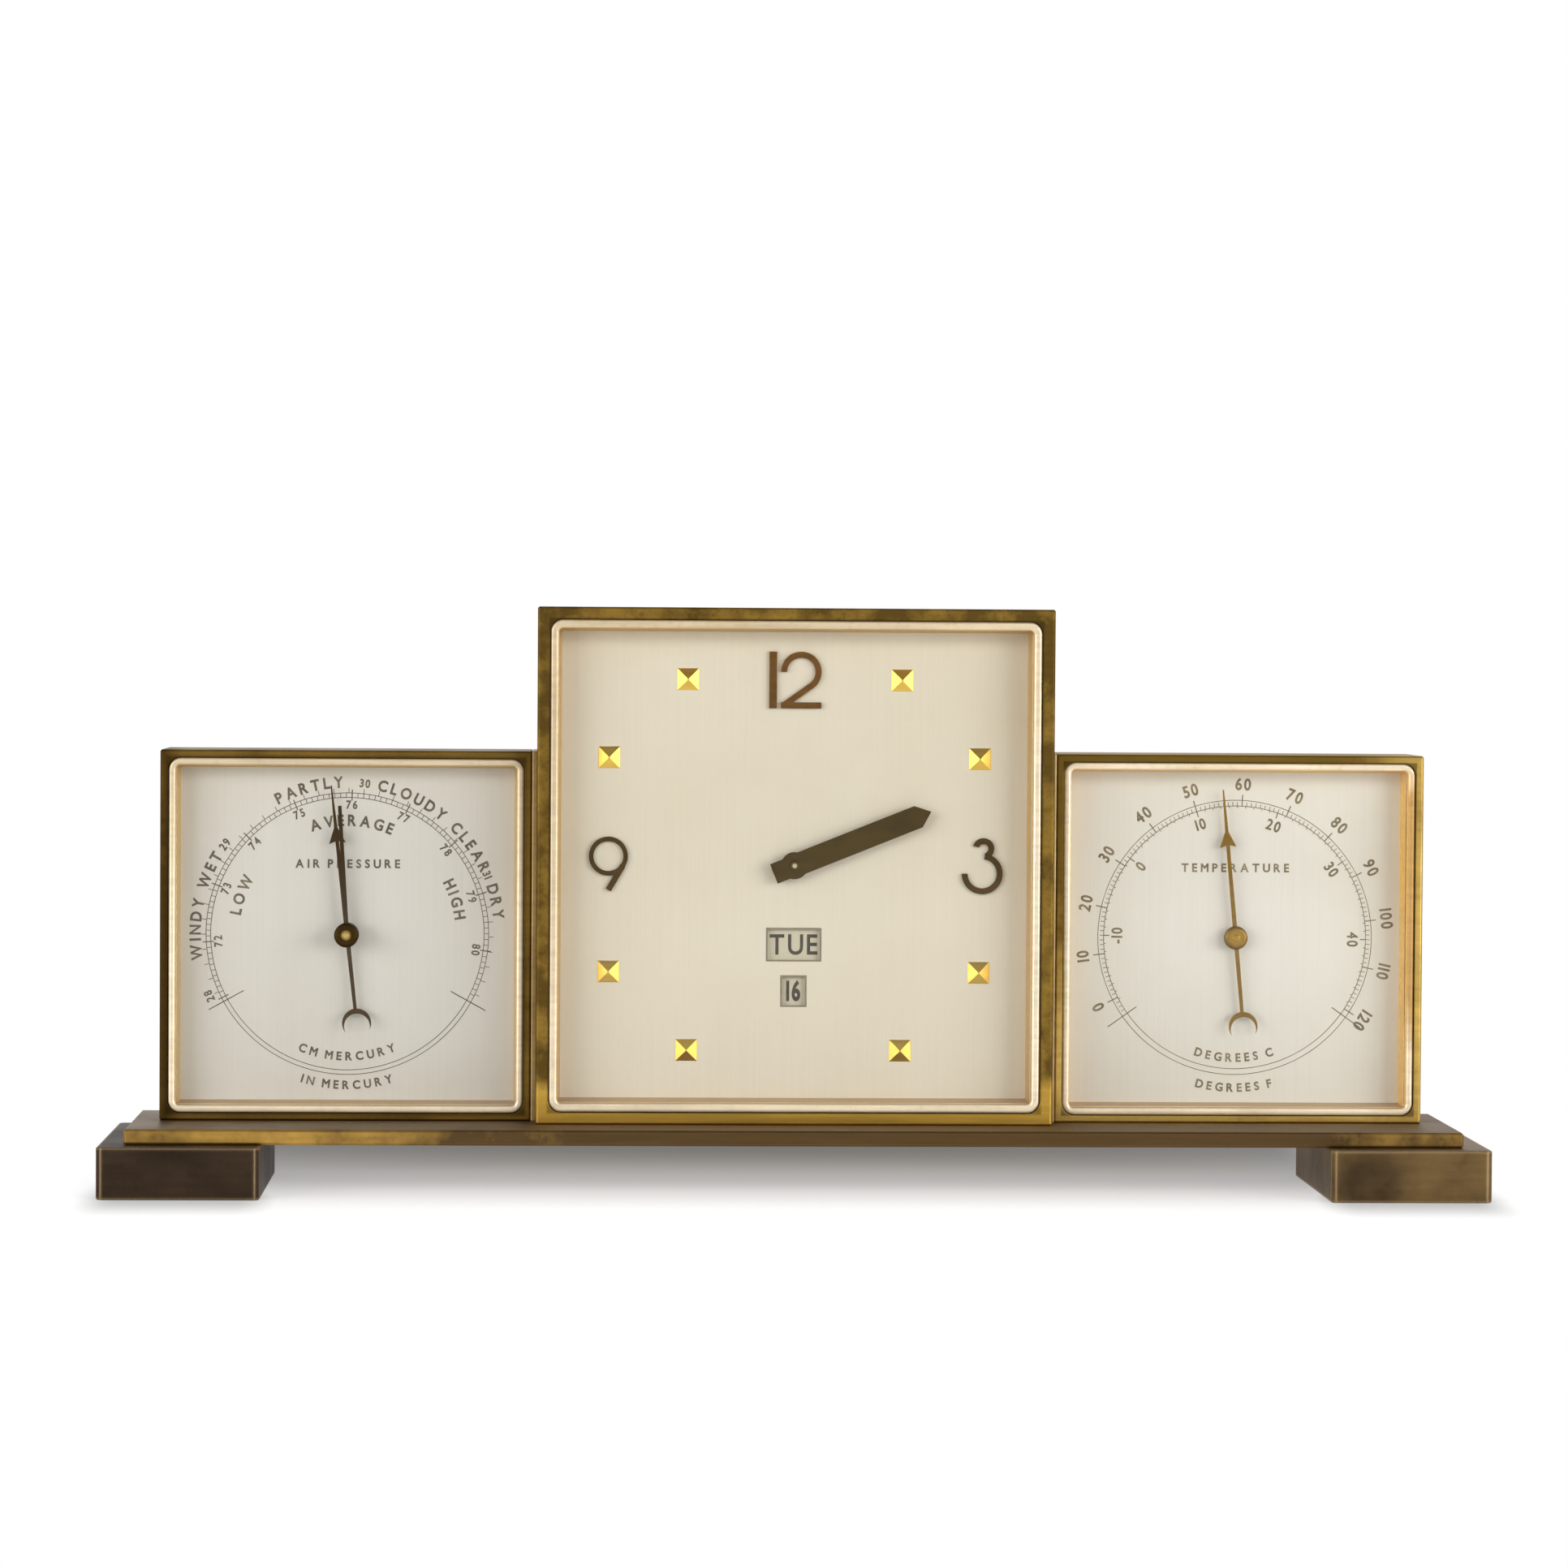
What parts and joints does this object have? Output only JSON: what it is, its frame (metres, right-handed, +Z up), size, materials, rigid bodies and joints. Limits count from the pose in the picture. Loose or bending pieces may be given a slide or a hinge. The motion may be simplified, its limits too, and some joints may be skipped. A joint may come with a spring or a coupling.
{
  "type": "desk clock with barometer and thermometer",
  "caption": "Brass desk weather station: a square clock with a calendar between a square barometer and a square thermometer, on a base plate with block feet",
  "frame": {"origin": "on the table, under the middle of the feet", "axes": "+X to the right seen from the front, +Y from the dials to the back, +Z up"},
  "size_m": [0.27, 0.052, 0.1147],
  "materials": {
    "plate_brass": "brushed, patinated",
    "foot_brass_left": "dark patina",
    "foot_brass_right": "brushed, smudged",
    "felt": "matt",
    "screw_steel": "turned",
    "strip_brass": "satin, pale",
    "case_brass": "polished, patinated",
    "case_brass_left": "polished, patinated",
    "case_brass_right": "polished",
    "bezel_brass": "polished",
    "glass": "clear",
    "clock_dial": "satin champagne",
    "side_dial": "satin silver white",
    "marker_gold": "polished",
    "numeral_gold": "polished",
    "hand_bronze": "satin, dark",
    "calendar_paper": "printed",
    "needle_bronze": "satin, dark",
    "set_hand_brass": "polished",
    "needle_gold": "polished",
    "cover_brass": "brushed",
    "spring_steel": "blued",
    "capsule_steel": "plated",
    "movement_brass": "brushed"
  },
  "bodies": {
    "frame": {"base_plate": "plate_brass", "foot_left": "foot_brass_left", "foot_right": "foot_brass_right", "foot_felts": "felt", "base_screws": "screw_steel", "joining_strips": "strip_brass", "clock_case": "case_brass", "clock_bezel": "bezel_brass", "clock_glass": "glass", "clock_dial": "clock_dial", "hour_markers": "marker_gold", "dial_numerals": "numeral_gold", "calendar_plate": "movement_brass", "movement_front_plate": "movement_brass", "movement_back_plate": "movement_brass", "movement_pillars": "movement_brass", "clock_back_cover": "cover_brass", "barometer_case": "case_brass_left", "barometer_bezel": "bezel_brass", "barometer_glass": "glass", "barometer_dial": "side_dial", "barometer_frame": "movement_brass", "aneroid_capsule": "capsule_steel", "barometer_back_cover": "cover_brass", "thermometer_case": "case_brass_right", "thermometer_bezel": "bezel_brass", "thermometer_glass": "glass", "thermometer_dial": "side_dial", "thermometer_frame": "movement_brass", "bimetal_coil": "spring_steel", "thermometer_back_cover": "cover_brass", "back_cover_screws": "screw_steel"},
    "minute_hand": {"minute_hand": "hand_bronze", "centre_arbor": "movement_brass", "set_knob": "movement_brass"},
    "hour_hand": {"hour_hand": "hand_bronze", "hour_wheel": "movement_brass"},
    "minute_wheel": {"minute_wheel": "movement_brass"},
    "calendar_wheel": {"calendar_wheel": "movement_brass"},
    "day_disc": {"day_disc": "calendar_paper"},
    "date_ring": {"date_ring": "calendar_paper"},
    "barrel": {"mainspring_barrel": "movement_brass", "mainspring": "spring_steel"},
    "intermediate_wheel": {"intermediate_wheel": "movement_brass"},
    "centre_wheel": {"centre_wheel": "movement_brass"},
    "third_wheel": {"third_wheel": "movement_brass"},
    "fourth_wheel": {"fourth_wheel": "movement_brass"},
    "escape_wheel": {"escape_wheel": "movement_brass"},
    "pallet_lever": {"pallet_lever": "movement_brass"},
    "balance_wheel": {"balance_wheel": "movement_brass", "hairspring": "spring_steel"},
    "winding": {"winding_key": "movement_brass", "barrel_arbor": "movement_brass", "ratchet_wheel": "movement_brass"},
    "ratchet_click": {"ratchet_click": "movement_brass"},
    "barometer_hand": {"barometer_hand": "needle_bronze"},
    "barometer_sector": {"barometer_sector": "movement_brass"},
    "barometer_set_hand": {"barometer_set_hand": "set_hand_brass"},
    "thermometer_hand": {"thermometer_hand": "needle_gold"}
  },
  "joints": [
    {"name": "minute_hand_turn", "type": "hinge", "parent": "frame", "child": "minute_hand", "pos_m": [0, -0.003, 0.06395], "axis": [0, 1, 0], "continuous": true},
    {"name": "hour_hand_turn", "type": "hinge", "parent": "frame", "child": "hour_hand", "pos_m": [0, -0.002, 0.06395], "axis": [0, 1, 0], "continuous": true},
    {"name": "minute_wheel_turn", "type": "hinge", "parent": "frame", "child": "minute_wheel", "pos_m": [-0.00342, 0.0044, 0.05455], "axis": [0, 1, 0], "continuous": true},
    {"name": "calendar_wheel_turn", "type": "hinge", "parent": "frame", "child": "calendar_wheel", "pos_m": [-0.01216, 0.0013, 0.07097], "axis": [0, 1, 0], "continuous": true},
    {"name": "day_disc_turn", "type": "hinge", "parent": "frame", "child": "day_disc", "pos_m": [0, 0.0005, 0.06395], "axis": [0, 1, 0], "continuous": true},
    {"name": "date_ring_turn", "type": "hinge", "parent": "frame", "child": "date_ring", "pos_m": [0, 0.0005, 0.06395], "axis": [0, 1, 0], "continuous": true},
    {"name": "barrel_turn", "type": "hinge", "parent": "frame", "child": "barrel", "pos_m": [-0.01801, 0.0102, 0.05593], "axis": [0, 1, 0], "continuous": true},
    {"name": "intermediate_wheel_turn", "type": "hinge", "parent": "frame", "child": "intermediate_wheel", "pos_m": [-0.01247, 0.0102, 0.07115], "axis": [0, 1, 0], "continuous": true},
    {"name": "centre_wheel_turn", "type": "hinge", "parent": "frame", "child": "centre_wheel", "pos_m": [0, 0.0138, 0.06395], "axis": [0, 1, 0], "continuous": true},
    {"name": "third_wheel_turn", "type": "hinge", "parent": "frame", "child": "third_wheel", "pos_m": [0.00993, 0.0102, 0.07228], "axis": [0, 1, 0], "continuous": true},
    {"name": "fourth_wheel_turn", "type": "hinge", "parent": "frame", "child": "fourth_wheel", "pos_m": [0.02015, 0.0126, 0.06856], "axis": [0, 1, 0], "continuous": true},
    {"name": "escape_wheel_turn", "type": "hinge", "parent": "frame", "child": "escape_wheel", "pos_m": [0.01921, 0.009, 0.05782], "axis": [0, 1, 0], "continuous": true},
    {"name": "pallet_lever_turn", "type": "hinge", "parent": "frame", "child": "pallet_lever", "pos_m": [0.01709, 0.009, 0.05199], "axis": [0, 1, 0], "range_deg": [-5, 5]},
    {"name": "balance_wheel_turn", "type": "hinge", "parent": "frame", "child": "balance_wheel", "pos_m": [0.01131, 0.0114, 0.0451], "axis": [0, 1, 0], "range_deg": [-135, 135]},
    {"name": "winding_turn", "type": "hinge", "parent": "frame", "child": "winding", "pos_m": [-0.01801, 0.0166, 0.05593], "axis": [0, 1, 0], "range_deg": [0, 2160]},
    {"name": "ratchet_click_turn", "type": "hinge", "parent": "frame", "child": "ratchet_click", "pos_m": [-0.01341, 0.0166, 0.04796], "axis": [0, 1, 0], "range_deg": [0, 12]},
    {"name": "barometer_hand_turn", "type": "hinge", "parent": "frame", "child": "barometer_hand", "pos_m": [-0.08825, 0.0055, 0.0497], "axis": [0, 1, 0], "range_deg": [-111.7, 124.3]},
    {"name": "barometer_sector_turn", "type": "hinge", "parent": "frame", "child": "barometer_sector", "pos_m": [-0.07449, 0.0074, 0.04006], "axis": [0, 1, 0], "range_deg": [-20.73, 18.63]},
    {"name": "barometer_set_hand_turn", "type": "hinge", "parent": "frame", "child": "barometer_set_hand", "pos_m": [-0.08825, 0.0003, 0.0497], "axis": [0, 1, 0], "range_deg": [-146.65, 153.35]},
    {"name": "thermometer_hand_turn", "type": "hinge", "parent": "frame", "child": "thermometer_hand", "pos_m": [0.08825, 0.0055, 0.0497], "axis": [0, 1, 0], "range_deg": [-120.1, 130.7]}
  ],
  "couplings": [
    {"joint": "hour_hand_turn", "follows": "minute_hand_turn", "ratio": 0.083333},
    {"joint": "minute_wheel_turn", "follows": "minute_hand_turn", "ratio": -0.33333},
    {"joint": "calendar_wheel_turn", "follows": "minute_hand_turn", "ratio": -0.041667},
    {"joint": "day_disc_turn", "follows": "minute_hand_turn", "ratio": 0.0059524},
    {"joint": "date_ring_turn", "follows": "minute_hand_turn", "ratio": 0.0013441},
    {"joint": "third_wheel_turn", "follows": "fourth_wheel_turn", "ratio": -0.13333},
    {"joint": "centre_wheel_turn", "follows": "fourth_wheel_turn", "ratio": 0.016667},
    {"joint": "intermediate_wheel_turn", "follows": "fourth_wheel_turn", "ratio": -0.0033333},
    {"joint": "barrel_turn", "follows": "fourth_wheel_turn", "ratio": 0.00051282},
    {"joint": "escape_wheel_turn", "follows": "fourth_wheel_turn", "ratio": -10},
    {"joint": "barometer_sector_turn", "follows": "barometer_hand_turn", "ratio": -0.16667}
  ]
}
